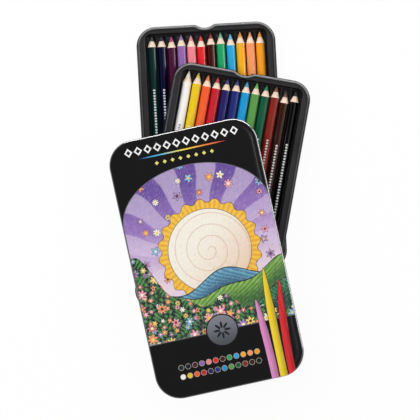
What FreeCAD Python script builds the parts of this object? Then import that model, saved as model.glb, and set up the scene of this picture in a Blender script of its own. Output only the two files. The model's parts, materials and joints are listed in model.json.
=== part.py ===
import FreeCAD, Part
import math
import os

# A round-cornered hinged tin for colored pencils, lying closed on its two fanned-out trays.
# Millimetres and degrees. X runs across the tin, Y along it towards the pencil points, Z up.

# Pencils
pencils_per_tray = 12
pencil_diameter = 7.1
pencil_length = 177.0
point_length = 10.0
tail_bevel = 0.4
lead_diameter = 3.6
lead_tip_radius = 0.35
glue_line = 0.02

# Trays, each formed from one plastic sheet
tray_sheet = 0.6
tray_height = 11.4
tray_corner_radius = 15.8
skirt_draft = 1.2
ridge_width = 1.7
ridge_height = 0.9
ridge_round = 0.8
side_ledge = 4.3
end_ledge = 3.4
ledge_round = 0.7
well_draft = 0.5
well_corner_radius = 4.5
well_side_gap = 1.4
well_end_play = 11.8
pencil_pitch = 8.0
groove_clearance = 0.2
groove_floor = 0.45
groove_depth = 1.95
groove_end_margin = 1.5
notch_depth = 2.8
notch_shoulder_radius = 7.0
notch_hollow_radius = 11.0

# Tin, drawn from tinplate
tin_sheet = 0.3
tray_clearance = 0.6
headroom = 1.2
lid_corner_radius = 20.2
lid_curl_diameter = 1.5
lid_side_gap = 0.45
lid_seat_gap = 0.2
skirt_depth = 9.5
shoulder_radius = 1.6
panel_margin = 2.6
panel_raise = 0.4
base_curl_diameter = 1.0
foot_width = 4.0
floor_raise = 0.8
base_corner_radius = 1.5
emboss_bend = 0.5

# Wire hinge in the lid's hem, along the tin's left side
lug_sheet = 0.25
lug_width = 12.0
lug_spacing = 90.0
lug_side_clearance = 0.3
lug_slot_height = 2.6
window_headroom = 0.4
wire_overhang = 10.0
wire_clamp_gap = 0.02
wire_running_gap = 0.05

# The fanned stack, measured from the tin's middle
stack_gap = 0.25
back_tray_x = 23.0
back_tray_y = 85.9
back_tray_turn = -9.2
front_tray_x = 23.5
front_tray_y = 47.0
front_tray_turn = -22.4

# Pencils from left to right, each with the share of the well's end play that is ahead of its tip
back_pencils = [
    ("dark_green", 0.05),
    ("navy", 0.07),
    ("plum", 0.16),
    ("lavender", 0.08),
    ("pink", 0.16),
    ("scarlet", 0.21),
    ("maroon", 0.09),
    ("green", 0.08),
    ("sky_blue", 0.21),
    ("gold", 0.10),
    ("peach", 0.14),
    ("amber", 0.16),
]
front_pencils = [
    ("white", 0.05),
    ("yellow", 0.05),
    ("orange", 0.11),
    ("crimson", 0.14),
    ("violet", 0.13),
    ("indigo", 0.085),
    ("blue", 0.07),
    ("grass_green", 0.06),
    ("forest_green", 0.09),
    ("brick", 0.05),
    ("brown", 0.30),
    ("black", 0.12),
]

# How near an edge has to lie to count as lying at a level
seam = 0.001

# Pencil sizes that follow
pencil_radius = pencil_diameter / 2
lead_radius = lead_diameter / 2
point_slope = pencil_radius / point_length

# Tray levels and half sizes that follow
pencil_row = (pencils_per_tray - 1) * pencil_pitch
groove_radius = pencil_radius + groove_clearance
pencil_axis_z = groove_floor + groove_radius
bed_z = groove_floor + groove_depth
ledge_z = tray_height - ridge_height
well_half_x = pencil_row / 2 + pencil_radius + well_side_gap
well_half_y = (pencil_length + well_end_play) / 2
tray_half_x = well_half_x + well_draft + side_ledge + ridge_width + skirt_draft
tray_half_y = well_half_y + well_draft + end_ledge + ridge_width + skirt_draft

# Tin levels and half sizes that follow
base_inset = lid_curl_diameter + lid_side_gap
base_half_x = tray_half_x + tray_clearance + base_curl_diameter
base_half_y = tray_half_y + tray_clearance + base_curl_diameter
lid_half_x = base_half_x + base_inset
lid_half_y = base_half_y + base_inset
base_radius = lid_corner_radius - base_inset
floor_z = floor_raise + tin_sheet
lid_under_z = floor_z + 2 * tray_height + headroom
lid_ledge_z = lid_under_z + tin_sheet
base_rim_z = lid_under_z - lid_seat_gap
skirt_foot_z = lid_ledge_z - skirt_depth

# Hinge axis, at the middle of the curled hem
hem_radius = lid_curl_diameter / 2
hinge_x = lid_half_x - hem_radius
hinge_z = skirt_foot_z + hem_radius
wire_radius = hem_radius - tin_sheet - wire_clamp_gap
lug_bore_radius = wire_radius + wire_running_gap
lug_outer_radius = lug_bore_radius + lug_sheet

# Places and levels of the fanned stack
back_tray_offset = (back_tray_x, back_tray_y)
front_tray_offset = (front_tray_x, front_tray_y)
front_tray_z = tray_height + stack_gap
tin_z = front_tray_z + tray_height + stack_gap


def point(x, y, z=0.0):
    return FreeCAD.Vector(x, y, z)


def line(start, end):
    return Part.LineSegment(start, end).toShape()


def arc_about(centre_x, centre_y, z, radius, start_degrees, end_degrees):
    stops = []
    for degrees in (start_degrees, (start_degrees + end_degrees) / 2, end_degrees):
        angle = math.radians(degrees)
        x = centre_x + radius * math.cos(angle)
        y = centre_y + radius * math.sin(angle)
        stops.append(point(x, y, z))
    return Part.Arc(*stops).toShape()


def rounded_outline(half_x, half_y, radius, z):
    corner_x = half_x - radius
    corner_y = half_y - radius
    edges = [
        line(point(half_x, -corner_y, z), point(half_x, corner_y, z)),
        arc_about(corner_x, corner_y, z, radius, 0, 90),
        line(point(corner_x, half_y, z), point(-corner_x, half_y, z)),
        arc_about(-corner_x, corner_y, z, radius, 90, 180),
        line(point(-half_x, corner_y, z), point(-half_x, -corner_y, z)),
        arc_about(-corner_x, -corner_y, z, radius, 180, 270),
        line(point(-corner_x, -half_y, z), point(corner_x, -half_y, z)),
        arc_about(corner_x, -corner_y, z, radius, 270, 360),
    ]
    return Part.Wire(edges)


def slab(outline, height):
    return Part.Face(outline).extrude(point(0, 0, height))


def drafted(lower, upper):
    return Part.makeLoft([lower, upper], True, True)


# A formed sheet's section, drawn in the XZ plane as straight runs and bends of its middle line.
# A move is ("run", length) or ("bend", degrees to the left, radius of the middle line).
def sheet_section(start_x, start_z, heading_degrees, moves, thickness):
    half = thickness / 2
    x, z, heading = start_x, start_z, math.radians(heading_degrees)
    sides = {1: [], -1: []}
    trail = {side: [] for side in sides}

    def offset(side, at_x, at_z, angle):
        return point(at_x - side * half * math.sin(angle), 0, at_z + side * half * math.cos(angle))

    for side in sides:
        trail[side].append(offset(side, x, z, heading))
    for move in moves:
        before = (x, z, heading)
        if move[0] == "run":
            x += move[1] * math.cos(heading)
            z += move[1] * math.sin(heading)
            for side in sides:
                end = offset(side, x, z, heading)
                sides[side].append(line(trail[side][-1], end))
                trail[side].append(end)
            continue
        turn = math.radians(move[1])
        reach = math.copysign(move[2], turn)
        centre_x = before[0] - reach * math.sin(heading)
        centre_z = before[1] + reach * math.cos(heading)
        stops = {side: [] for side in sides}
        for share in (0.5, 1.0):
            angle = before[2] + share * turn
            x = centre_x + reach * math.sin(angle)
            z = centre_z - reach * math.cos(angle)
            for side in sides:
                stops[side].append(offset(side, x, z, angle))
        heading = before[2] + turn
        for side in sides:
            sides[side].append(Part.Arc(trail[side][-1], *stops[side]).toShape())
            trail[side].append(stops[side][-1])
    start_cap = line(trail[-1][0], trail[1][0])
    end_cap = line(trail[1][-1], trail[-1][-1])
    loop = [start_cap] + sides[1] + [end_cap] + sides[-1][::-1]
    return Part.Face(Part.Wire(Part.__sortEdges__(loop)))


# The section carried once round a rounded rectangle: four straight walls and four turned corners.
def carried_round(section, half_x, half_y, radius):
    corner_x = half_x - radius
    corner_y = half_y - radius
    up = point(0, 0, 1)
    at_side = section.translated(point(0, -corner_y, 0))
    at_corner = section.translated(point(0, corner_y, 0))
    at_end = at_corner.rotated(point(corner_x, corner_y), up, 90)
    at_far_corner = at_end.translated(point(-2 * corner_x, 0, 0))
    half_ring = [
        at_side.extrude(point(0, 2 * corner_y, 0)),
        at_corner.revolve(point(corner_x, corner_y), up, 90),
        at_end.extrude(point(-2 * corner_x, 0, 0)),
        at_far_corner.revolve(point(-corner_x, corner_y), up, 90),
    ]
    other_half = [piece.rotated(point(0, 0), up, 180) for piece in half_ring]
    return half_ring + other_half


def joined(pieces):
    return pieces[0].multiFuse(pieces[1:]).removeSplitter().Solids[0]


# One offset step down of an embossed panel: two equal and opposite bends
def emboss_step(drop, bend_radius):
    degrees = math.degrees(math.acos(1 - drop / (2 * bend_radius)))
    moves = [("bend", -degrees, bend_radius), ("bend", degrees, bend_radius)]
    return moves, 2 * bend_radius * math.sin(math.radians(degrees))


# A pencil lies along Y with its tip at the origin
def pencil_profile(points):
    wire = Part.makePolygon([point(r, y) for r, y in points + points[:1]])
    return Part.Face(wire).revolve(point(0, 0), point(0, 1, 0), 360)


def pencil_wood():
    bore = lead_radius + glue_line
    apex_y = lead_tip_radius * (math.hypot(1, 1 / point_slope) - 1)
    return pencil_profile(
        [
            (bore, -pencil_length),
            (pencil_radius - tail_bevel, -pencil_length),
            (pencil_radius, -pencil_length + tail_bevel),
            (pencil_radius, apex_y - point_length),
            (bore, apex_y - bore / point_slope),
        ]
    )


# The lead's cone runs into a ball-shaped tip that touches it all round
def pencil_lead():
    slant = math.atan(point_slope)
    ball_y = -lead_tip_radius
    apex_y = ball_y + lead_tip_radius / math.sin(slant)
    touch = point(lead_tip_radius * math.cos(slant), ball_y + lead_tip_radius * math.sin(slant))
    half_slant = (math.pi / 2 + slant) / 2
    bulge = point(lead_tip_radius * math.cos(half_slant), ball_y + lead_tip_radius * math.sin(half_slant))
    shoulder = point(lead_radius, apex_y - lead_radius / point_slope)
    tail = point(lead_radius, -pencil_length)
    edges = [
        line(point(0, -pencil_length), tail),
        line(tail, shoulder),
        line(shoulder, touch),
        Part.Arc(touch, bulge, point(0, 0)).toShape(),
        line(point(0, 0), point(0, -pencil_length)),
    ]
    return Part.Face(Part.Wire(edges)).revolve(point(0, 0), point(0, 1, 0), 360)


# The tray's outline with a finger notch in each short side, drawn in by inset all round
def tray_outline(inset, z):
    half_x = tray_half_x - inset
    half_y = tray_half_y - inset
    radius = tray_corner_radius - inset
    corner_x = half_x - radius
    corner_y = half_y - radius
    shoulder = notch_shoulder_radius - inset
    hollow = notch_hollow_radius + inset
    both = notch_shoulder_radius + notch_hollow_radius
    shoulder_x = math.sqrt(2 * notch_depth * both - notch_depth**2)
    shoulder_y = tray_half_y - notch_shoulder_radius
    hollow_y = tray_half_y - notch_depth + notch_hollow_radius
    lean = math.degrees(math.atan2(both - notch_depth, -shoulder_x))
    head = [
        line(point(corner_x, half_y, z), point(shoulder_x, half_y, z)),
        arc_about(shoulder_x, shoulder_y, z, shoulder, 90, lean),
        arc_about(0, hollow_y, z, hollow, lean - 180, -lean),
        arc_about(-shoulder_x, shoulder_y, z, shoulder, 180 - lean, 90),
        line(point(-shoulder_x, half_y, z), point(-corner_x, half_y, z)),
    ]
    half_round = [
        line(point(half_x, -corner_y, z), point(half_x, corner_y, z)),
        arc_about(corner_x, corner_y, z, radius, 0, 90),
        *head,
        arc_about(-corner_x, corner_y, z, radius, 90, 180),
    ]
    other_half = [edge.rotated(point(0, 0), point(0, 0, 1), 180) for edge in half_round]
    return Part.Wire(half_round + other_half)


def well_outline(grow, z):
    return rounded_outline(well_half_x + grow, well_half_y + grow, well_corner_radius + grow, z)


def groove_rods(radius, margin):
    half_length = well_half_y - margin
    rods = []
    for place in range(pencils_per_tray):
        x = place * pencil_pitch - pencil_row / 2
        start = point(x, -half_length, pencil_axis_z)
        rods.append(Part.makeCylinder(radius, 2 * half_length, start, point(0, 1, 0)))
    return rods


def edges_at(shape, z, half_x, half_y):
    found = []
    for edge in shape.Edges:
        if all(abs(v.Z - z) < seam and abs(v.X) < half_x and abs(v.Y) < half_y for v in edge.Vertexes):
            found.append(edge)
    return found


# One formed sheet: the upper form less the same form set back by the sheet's thickness
def formed_tray():
    block = drafted(tray_outline(0, 0), tray_outline(skirt_draft, tray_height))
    inside_ridge = slab(tray_outline(skirt_draft + ridge_width, ledge_z), tray_height)
    well = drafted(well_outline(0, bed_z), well_outline(well_draft, ledge_z))
    form = block.cut(inside_ridge)
    form = form.makeFillet(ridge_round, edges_at(form, tray_height, tray_half_x, tray_half_y))
    form = form.cut(well)
    mouth_x = well_half_x + well_draft + seam
    mouth_y = well_half_y + well_draft + seam
    form = form.makeFillet(ledge_round, edges_at(form, ledge_z, mouth_x, mouth_y))
    form = form.cut(groove_rods(groove_radius, groove_end_margin))
    under_z = ledge_z - tray_sheet
    under_inset = tray_sheet + skirt_draft * under_z / tray_height
    under = drafted(tray_outline(tray_sheet, 0), tray_outline(under_inset, under_z))
    well_under = drafted(
        well_outline(tray_sheet, bed_z - tray_sheet),
        well_outline(well_draft + tray_sheet, ledge_z),
    )
    troughs = groove_rods(groove_radius + tray_sheet, groove_end_margin - tray_sheet)
    return form.cut(under.cut([well_under] + troughs)).Solids[0]


# The drawn pan: embossed floor, foot, wall and an edge rolled inwards
def tin_base():
    step, step_width = emboss_step(floor_raise, emboss_bend)
    floor_half_x = base_half_x - base_corner_radius - foot_width - step_width
    middle = tin_sheet / 2
    corner_bend = base_corner_radius - middle
    curl_bend = base_curl_diameter / 2 - middle
    wall = base_rim_z - base_corner_radius - base_curl_diameter / 2
    section = sheet_section(
        floor_half_x,
        floor_raise + middle,
        0,
        step + [("run", foot_width), ("bend", 90, corner_bend), ("run", wall), ("bend", 270, curl_bend)],
        tin_sheet,
    )
    inset = base_half_x - floor_half_x
    floor_outline = rounded_outline(floor_half_x, base_half_y - inset, base_radius - inset, floor_raise)
    ring = carried_round(section, base_half_x, base_half_y, base_radius)
    pan = joined([slab(floor_outline, tin_sheet)] + ring)
    lug = hinge_lug()
    slot = lug_slot()
    for y in (-lug_spacing / 2, lug_spacing / 2):
        pan = pan.cut(slot.translated(point(0, y, 0)))
        pan = pan.fuse(lug.translated(point(0, y, 0)))
    return pan.removeSplitter().Solids[0]


# A tongue bent out of the rear wall and rolled round the wire
def hinge_lug():
    roll = lug_bore_radius + lug_sheet / 2
    stem_start = base_half_x - tin_sheet
    moves = [("run", hinge_x - stem_start), ("bend", 270, roll)]
    section = sheet_section(stem_start, hinge_z - roll, 0, moves, lug_sheet)
    lug = section.translated(point(0, -lug_width / 2, 0)).extrude(point(0, lug_width, 0))
    return lug.rotated(point(0, 0), point(0, 0, 1), 180)


# The hole that the tongue leaves in the wall above its root
def lug_slot():
    start = point(-base_half_x - tin_sheet, -lug_width / 2, hinge_z - lug_bore_radius)
    return Part.makeBox(3 * tin_sheet, lug_width, lug_slot_height, start)


# The drawn cover: raised panel, ledge, round shoulder, skirt and a hem curled inwards
def tin_lid():
    step, step_width = emboss_step(panel_raise, emboss_bend)
    panel_half_x = lid_half_x - panel_margin - step_width
    middle = tin_sheet / 2
    shoulder_bend = shoulder_radius - middle
    ledge = panel_margin - shoulder_radius
    skirt = skirt_depth - shoulder_radius - hem_radius
    section = sheet_section(
        panel_half_x,
        lid_ledge_z + panel_raise - middle,
        0,
        step + [("run", ledge), ("bend", -90, shoulder_bend), ("run", skirt), ("bend", -270, hem_radius - middle)],
        tin_sheet,
    )
    inset = lid_half_x - panel_half_x
    panel_z = lid_ledge_z + panel_raise - tin_sheet
    panel_outline = rounded_outline(panel_half_x, lid_half_y - inset, lid_corner_radius - inset, panel_z)
    ring = carried_round(section, lid_half_x, lid_half_y, lid_corner_radius)
    cover = joined([slab(panel_outline, tin_sheet)] + ring)
    width = lug_width + 2 * lug_side_clearance
    height = hem_radius + lug_outer_radius + window_headroom
    depth = lid_curl_diameter + tin_sheet
    window = Part.makeBox(depth, width, height, point(-lid_half_x - tin_sheet, -width / 2, skirt_foot_z))
    for y in (-lug_spacing / 2, lug_spacing / 2):
        cover = cover.cut(window.translated(point(0, y, 0)))
    return cover.Solids[0]


def hinge_wire():
    half_length = lug_spacing / 2 + lug_width / 2 + wire_overhang
    start = point(-hinge_x, -half_length, hinge_z)
    return Part.makeCylinder(wire_radius, 2 * half_length, start, point(0, 1, 0))


# How far a turned rounded rectangle reaches along X and Y from its own middle
def reach(half_x, half_y, radius, turn):
    across = abs(math.cos(math.radians(turn)))
    along = abs(math.sin(math.radians(turn)))
    reach_x = (half_x - radius) * across + (half_y - radius) * along + radius
    reach_y = (half_x - radius) * along + (half_y - radius) * across + radius
    return reach_x, reach_y


# The part's origin: the middle of the whole layout's rectangle, at the foot of the back tray
def layout_middle():
    tray = (tray_half_x, tray_half_y, tray_corner_radius)
    lid = (lid_half_x, lid_half_y, lid_corner_radius)
    placed = [
        (back_tray_offset, reach(*tray, back_tray_turn)),
        (front_tray_offset, reach(*tray, front_tray_turn)),
        ((0, 0), reach(*lid, 0)),
    ]
    middle = []
    for axis in (0, 1):
        low = min(offset[axis] - span[axis] for offset, span in placed)
        high = max(offset[axis] + span[axis] for offset, span in placed)
        middle.append((low + high) / 2)
    return middle


origin_x, origin_y = layout_middle()


def laid(shape, offset, turn, z):
    turned = shape.rotated(point(0, 0), point(0, 0, 1), turn)
    return turned.translated(point(offset[0] - origin_x, offset[1] - origin_y, z))


os.makedirs("parts", exist_ok=True)


def export(node, shape):
    if not shape.isValid() or shape.ShapeType != "Solid":
        print("check", node, shape.ShapeType, shape.isValid())
    shape.exportStep("parts/" + node + ".step")


def export_tray(tray_node, tray, pencils, offset, turn, z):
    export(tray_node, laid(tray, offset, turn, z))
    wood = pencil_wood().Solids[0]
    lead = pencil_lead().Solids[0]
    for place, (colour, share_ahead) in enumerate(pencils):
        x = place * pencil_pitch - pencil_row / 2
        at = point(x, well_half_y - share_ahead * well_end_play, pencil_axis_z)
        export(colour + "_pencil_wood", laid(wood.translated(at), offset, turn, z))
        export(colour + "_pencil_lead", laid(lead.translated(at), offset, turn, z))


tray = formed_tray()
export_tray("back_tray", tray, back_pencils, back_tray_offset, back_tray_turn, 0.0)
export_tray("front_tray", tray, front_pencils, front_tray_offset, front_tray_turn, front_tray_z)
export("tin_base", laid(tin_base(), (0, 0), 0, tin_z))
export("tin_lid", laid(tin_lid(), (0, 0), 0, tin_z))
export("hinge_wire", laid(hinge_wire(), (0, 0), 0, tin_z))

print("tray", round(2 * tray_half_x, 2), "x", round(2 * tray_half_y, 2), "volume", round(tray.Volume, 1))
print("lid", round(2 * lid_half_x, 2), "x", round(2 * lid_half_y, 2), "top", round(tin_z + lid_ledge_z + panel_raise, 2))
print("tin middle", round(-origin_x, 3), round(-origin_y, 3))
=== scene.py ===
import bmesh
import bpy
import json
import math
import numpy as np
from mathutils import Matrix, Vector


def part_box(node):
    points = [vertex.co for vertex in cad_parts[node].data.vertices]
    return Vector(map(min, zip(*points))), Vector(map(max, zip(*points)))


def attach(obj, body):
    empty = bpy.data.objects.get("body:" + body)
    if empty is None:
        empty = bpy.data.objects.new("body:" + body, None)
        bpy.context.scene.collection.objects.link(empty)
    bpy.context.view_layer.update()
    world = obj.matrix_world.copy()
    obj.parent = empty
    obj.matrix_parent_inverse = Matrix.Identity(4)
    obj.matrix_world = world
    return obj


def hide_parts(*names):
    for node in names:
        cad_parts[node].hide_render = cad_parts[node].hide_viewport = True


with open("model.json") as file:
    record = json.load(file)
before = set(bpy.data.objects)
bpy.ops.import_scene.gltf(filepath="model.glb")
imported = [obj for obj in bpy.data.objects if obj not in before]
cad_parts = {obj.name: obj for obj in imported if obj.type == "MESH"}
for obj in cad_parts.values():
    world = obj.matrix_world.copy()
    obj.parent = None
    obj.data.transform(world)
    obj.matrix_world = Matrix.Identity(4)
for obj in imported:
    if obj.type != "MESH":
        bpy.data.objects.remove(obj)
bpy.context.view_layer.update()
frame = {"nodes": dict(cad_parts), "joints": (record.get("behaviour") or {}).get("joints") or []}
mm = 0.001


# A colour as it is seen, 0 to 255, made linear for a shader
def seen(red, green, blue):
    parts = [part / 255 for part in (red, green, blue)]
    linear = [part / 12.92 if part < 0.04045 else ((part + 0.055) / 1.055) ** 2.4 for part in parts]
    return tuple(linear) + (1.0,)


# The same, moved by a share towards white, or scaled towards black
def paler(tint, share):
    return seen(*[part + (255 - part) * share for part in tint])


def darker(tint, share):
    return seen(*[part * share for part in tint])


# A socket of a node tree. Arithmetic on it adds Math nodes, and add() makes any other node.
class Socket:
    def __init__(self, tree, out=None):
        self.tree = tree
        self.out = out

    def add(self, kind, settings=None, links=None, take=0):
        made = self.tree.nodes.new("ShaderNode" + kind)
        for key, value in (settings or {}).items():
            if key == "stops":
                self.fillRamp(made.color_ramp, value)
            else:
                setattr(made, key, value)
        for key, value in (links or {}).items():
            if isinstance(value, Socket):
                self.tree.links.new(value.out, made.inputs[key])
            else:
                made.inputs[key].default_value = value
        return Socket(self.tree, made.outputs[take] if made.outputs else None)

    def fillRamp(self, ramp, stops):
        while len(ramp.elements) < len(stops):
            ramp.elements.new(0.5)
        for element, (place, colour) in zip(ramp.elements, stops):
            element.position = place
            element.color = colour

    def math(self, operation, *values):
        return self.add("Math", {"operation": operation}, dict(enumerate(values)))

    def __add__(self, other):
        return self.math("ADD", self, other)

    def __radd__(self, other):
        return self.math("ADD", other, self)

    def __sub__(self, other):
        return self.math("SUBTRACT", self, other)

    def __rsub__(self, other):
        return self.math("SUBTRACT", other, self)

    def __mul__(self, other):
        return self.math("MULTIPLY", self, other)

    def __rmul__(self, other):
        return self.math("MULTIPLY", other, self)

    def __truediv__(self, other):
        return self.math("DIVIDE", self, other)

    def __lt__(self, other):
        return self.math("LESS_THAN", self, other)

    def __gt__(self, other):
        return self.math("GREATER_THAN", self, other)

    def __abs__(self):
        return self.math("ABSOLUTE", self)

    def sin(self):
        return self.math("SINE", self)

    def cos(self):
        return self.math("COSINE", self)

    def root(self):
        return self.math("SQRT", self)

    def floor(self):
        return self.math("FLOOR", self)

    def fract(self):
        return self.math("FRACT", self)

    def atLeast(self, other):
        return self.math("MAXIMUM", self, other)

    def atMost(self, other):
        return self.math("MINIMUM", self, other)

    # 0 below low, 1 above high, eased between
    def ease(self, low, high):
        return self.add("MapRange", {"interpolation_type": "SMOOTHSTEP"}, {0: self, 1: low, 2: high})

    # the colour under, with the colour over it where this value is 1
    def blend(self, under, over):
        return self.add("Mix", {"data_type": "RGBA"}, {0: self, 6: under, 7: over}, take=2)

    def pairedWith(self, other):
        return self.add("CombineXYZ", links={0: self, 1: other})

    def parts(self):
        split = self.add("SeparateXYZ", links={0: self})
        return [Socket(self.tree, out) for out in split.out.node.outputs]

    def noise(self, scale, detail=2.0, roughness=0.5):
        links = {"Vector": self, "Scale": scale, "Detail": detail, "Roughness": roughness}
        return self.add("TexNoise", links=links)


# A new material, the start of its node tree, and its Principled shader with the constants set
def newMaterial(name, **constants):
    material = bpy.data.materials.new(name)
    material.use_nodes = True
    shader = material.node_tree.nodes["Principled BSDF"]
    for key, value in constants.items():
        shader.inputs[key.replace("_", " ")].default_value = value
    return material, Socket(material.node_tree), shader


# Object coordinates in millimetres from a centre, which is given in metres
def objectMillimetres(start, centre=(0.0, 0.0, 0.0)):
    spot = start.add("TexCoord", take=3)
    links = {"Vector": spot, "Location": centre, "Scale": (mm, mm, mm)}
    return start.add("Mapping", {"vector_type": "TEXTURE"}, links)


def feed(shader, **values):
    for key, value in values.items():
        shader.id_data.links.new(value.out, shader.inputs[key.replace("_", " ")])


def bump(start, height, distance, strength):
    return start.add("Bump", links={"Height": height, "Distance": distance * mm, "Strength": strength})


# Places, read from the frame in millimetres: trays are even about their middles, so a box's middle is theirs
def middleOf(node):
    low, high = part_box(node)
    return np.array([(low.x + high.x) / 2, (low.y + high.y) / 2, low.z]) / mm


jointNamed = {joint["name"]: joint for joint in frame["joints"]}


# A tray's turn about the vertical, from the axis along which a pencil slides in it
def turnOf(slideJoint):
    axis = jointNamed[slideJoint]["axis"]
    return math.atan2(-axis[0], axis[1])


# Faces of a grid of points, row by row, closed round if asked
def gridQuads(rows, columns, closed):
    span = columns if closed else columns - 1
    row, column = np.meshgrid(np.arange(rows - 1), np.arange(span), indexing="ij")
    near = row * columns + column
    nearNext = row * columns + (column + 1) % columns
    return np.stack([near, nearNext, nearNext + columns, near + columns], axis=-1).reshape(-1, 4)


# Distances in metres below which points merge and slivers go, and the degrees from which an edge is sharp
meshing = {"merge": 1e-7, "sliver": 1e-8, "sharp": 38}


# A mesh object from points in millimetres and faces, with its doubles merged
def addPiece(name, points, faces, body, nodes, materials, faceMaterial=None, loopUv=None):
    mesh = bpy.data.meshes.new(name)
    mesh.from_pydata((points * mm).tolist(), [], faces)
    for material in materials:
        mesh.materials.append(material)
    if faceMaterial is not None:
        mesh.polygons.foreach_set("material_index", np.asarray(faceMaterial, dtype=np.int32))
    if loopUv is not None:
        layer = mesh.uv_layers.new(name="along")
        layer.data.foreach_set("uv", np.asarray(loopUv, dtype=np.float32).ravel())
    work = bmesh.new()
    work.from_mesh(mesh)
    bmesh.ops.remove_doubles(work, verts=work.verts, dist=meshing["merge"])
    bmesh.ops.dissolve_degenerate(work, edges=work.edges, dist=meshing["sliver"])
    work.to_mesh(mesh)
    work.free()
    mesh.polygons.foreach_set("use_smooth", np.ones(len(mesh.polygons), dtype=bool))
    mesh.set_sharp_from_angle(angle=math.radians(meshing["sharp"]))
    piece = bpy.data.objects.new(name, mesh)
    bpy.context.collection.objects.link(piece)
    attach(piece, body)
    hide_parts(*nodes)
    return piece


# Pencils, with their sizes in millimetres
pencil = {
    "length": 177.0,
    "radius": 3.55,
    "leadRadius": 1.8,
    "boreRoom": 0.02,
    "boreStart": 1.0,
    "point": 10.0,
    "tipRadius": 0.35,
    "lacquer": 0.06,
    "lacquerEdge": 0.9,  # behind the cone, where the lacquer starts to round off
    "lipBehind": 0.25,
    "lipDrop": 0.012,
    "coneDrop": 0.12,
    "tailRound": 0.5,
    "tailBand": 4.0,
    "sides": 56,
    "pitch": 8.0,
    "axisHeight": 4.2,
}

# Foil marks repeat every pitch: a lozenge and a dash, each at a share of the pitch
foil = {
    "start": 43.0,
    "length": 84.0,
    "pitch": 4.6,
    "lozengeAt": 0.3,
    "lozengeSlant": (3.2, 0.5),
    "lozengeSize": 0.62,
    "dashAt": 0.78,
    "dashHalf": (0.15, 0.8),
    "wearAndHighlight": 0.36,
    "tint": (226, 226, 224),
    "tintOnWhite": (120, 118, 116),
}

lacquerColours = {
    "dark_green": (22, 50, 48), "navy": (20, 27, 52), "plum": (76, 28, 58), "lavender": (148, 104, 172),
    "pink": (245, 133, 143), "scarlet": (222, 39, 42), "maroon": (72, 26, 24), "green": (34, 163, 102),
    "sky_blue": (39, 168, 221), "gold": (249, 177, 30), "peach": (249, 157, 100), "amber": (245, 160, 38),
    "white": (247, 244, 242), "yellow": (235, 199, 30), "orange": (242, 94, 47), "crimson": (196, 34, 47),
    "violet": (39, 37, 100), "indigo": (38, 47, 114), "blue": (24, 149, 209), "grass_green": (90, 153, 72),
    "forest_green": (22, 89, 64), "brick": (135, 40, 33), "brown": (56, 34, 30), "black": (25, 24, 26),
}
leadColours = {
    "dark_green": (40, 52, 46), "navy": (34, 36, 58), "plum": (168, 60, 132), "lavender": (150, 110, 175),
    "pink": (244, 140, 148), "scarlet": (216, 60, 52), "maroon": (150, 44, 42), "green": (110, 190, 150),
    "sky_blue": (84, 186, 226), "gold": (240, 150, 30), "peach": (246, 160, 110), "amber": (240, 150, 40),
    "white": (244, 241, 236), "yellow": (226, 196, 52), "orange": (236, 128, 56), "crimson": (200, 50, 60),
    "violet": (62, 54, 130), "indigo": (62, 66, 140), "blue": (60, 156, 206), "grass_green": (110, 180, 90),
    "forest_green": (20, 130, 90), "brick": (140, 70, 50), "brown": (96, 58, 44), "black": (40, 36, 36),
}
trays = {
    "back_tray": ["dark_green", "navy", "plum", "lavender", "pink", "scarlet",
                  "maroon", "green", "sky_blue", "gold", "peach", "amber"],
    "front_tray": ["white", "yellow", "orange", "crimson", "violet", "indigo",
                   "blue", "grass_green", "forest_green", "brick", "brown", "black"],
}


glossGrey = 0.012  # what the gloss adds to a colour, which the paint leaves out


def paintTint(tint, scale):
    return tuple(max(part * scale - glossGrey, 0.0) for part in seen(*tint)[:3]) + (1.0,)


# Gloss lacquer over wood: thick and thin along the barrel, a little orange peel, and a foil row of lozenges and
# dashes along the top. The map gives millimetres round the barrel from its top, and behind the tip.
def lacquerMaterial(colour):
    material, start, shader = newMaterial(colour + "Lacquer", Specular_IOR_Level=0.3)
    around, along, _ = start.add("TexCoord", take=2).parts()
    depth = (around * 0.3).pairedWith(along * 0.05).noise(1.0)
    deep, pale = [paintTint(lacquerColours[colour], scale) for scale in (0.97, 1.04)]
    paint = depth.ease(0.3, 0.7).blend(deep, pale)
    place = ((along - foil["start"]) / foil["pitch"]).fract()
    steepAlong, steepAround = foil["lozengeSlant"]
    lozenge = abs(place - foil["lozengeAt"]) * steepAlong + abs(around) * steepAround < foil["lozengeSize"]
    halfAlong, halfAround = foil["dashHalf"]
    dash = (abs(place - foil["dashAt"]) < halfAlong) * (abs(around) < halfAround)
    within = (along > foil["start"]) * (along < foil["start"] + foil["length"])
    whole = objectMillimetres(start).noise(1.7) > foil["wearAndHighlight"]
    marks = lozenge.atLeast(dash) * within * whole
    foilTint = foil["tintOnWhite"] if colour == "white" else foil["tint"]
    feed(shader, Base_Color=marks.blend(paint, seen(*foilTint)))
    feed(shader, Roughness=0.23 + 0.05 * depth + 0.1 * marks)
    feed(shader, Normal=bump(start, depth, 0.05, 0.12))
    return material


# Cut cedar: streaks of grain along the cone, dark pores, and ring marks of the sharpener
def cedarMaterial():
    material, start, shader = newMaterial("cutCedar", Specular_IOR_Level=0.3)
    around, along, _ = start.add("TexCoord", take=2).parts()
    grain = (around * 1.9).pairedWith(along * 0.22).noise(1.0, 4.0, 0.65)
    pores = (around * 5.0).pairedWith(along * 0.6).noise(1.0) > 0.66
    wood = grain.ease(0.25, 0.75).blend(seen(244, 204, 172), seen(254, 236, 216))
    wood = (pores * 0.35).blend(wood, seen(180, 122, 88))
    feed(shader, Base_Color=wood)
    feed(shader, Roughness=0.52 + 0.2 * grain)
    feed(shader, Normal=bump(start, grain + 0.3 * (along * 9.0).sin(), 0.05, 0.6))
    return material


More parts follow.
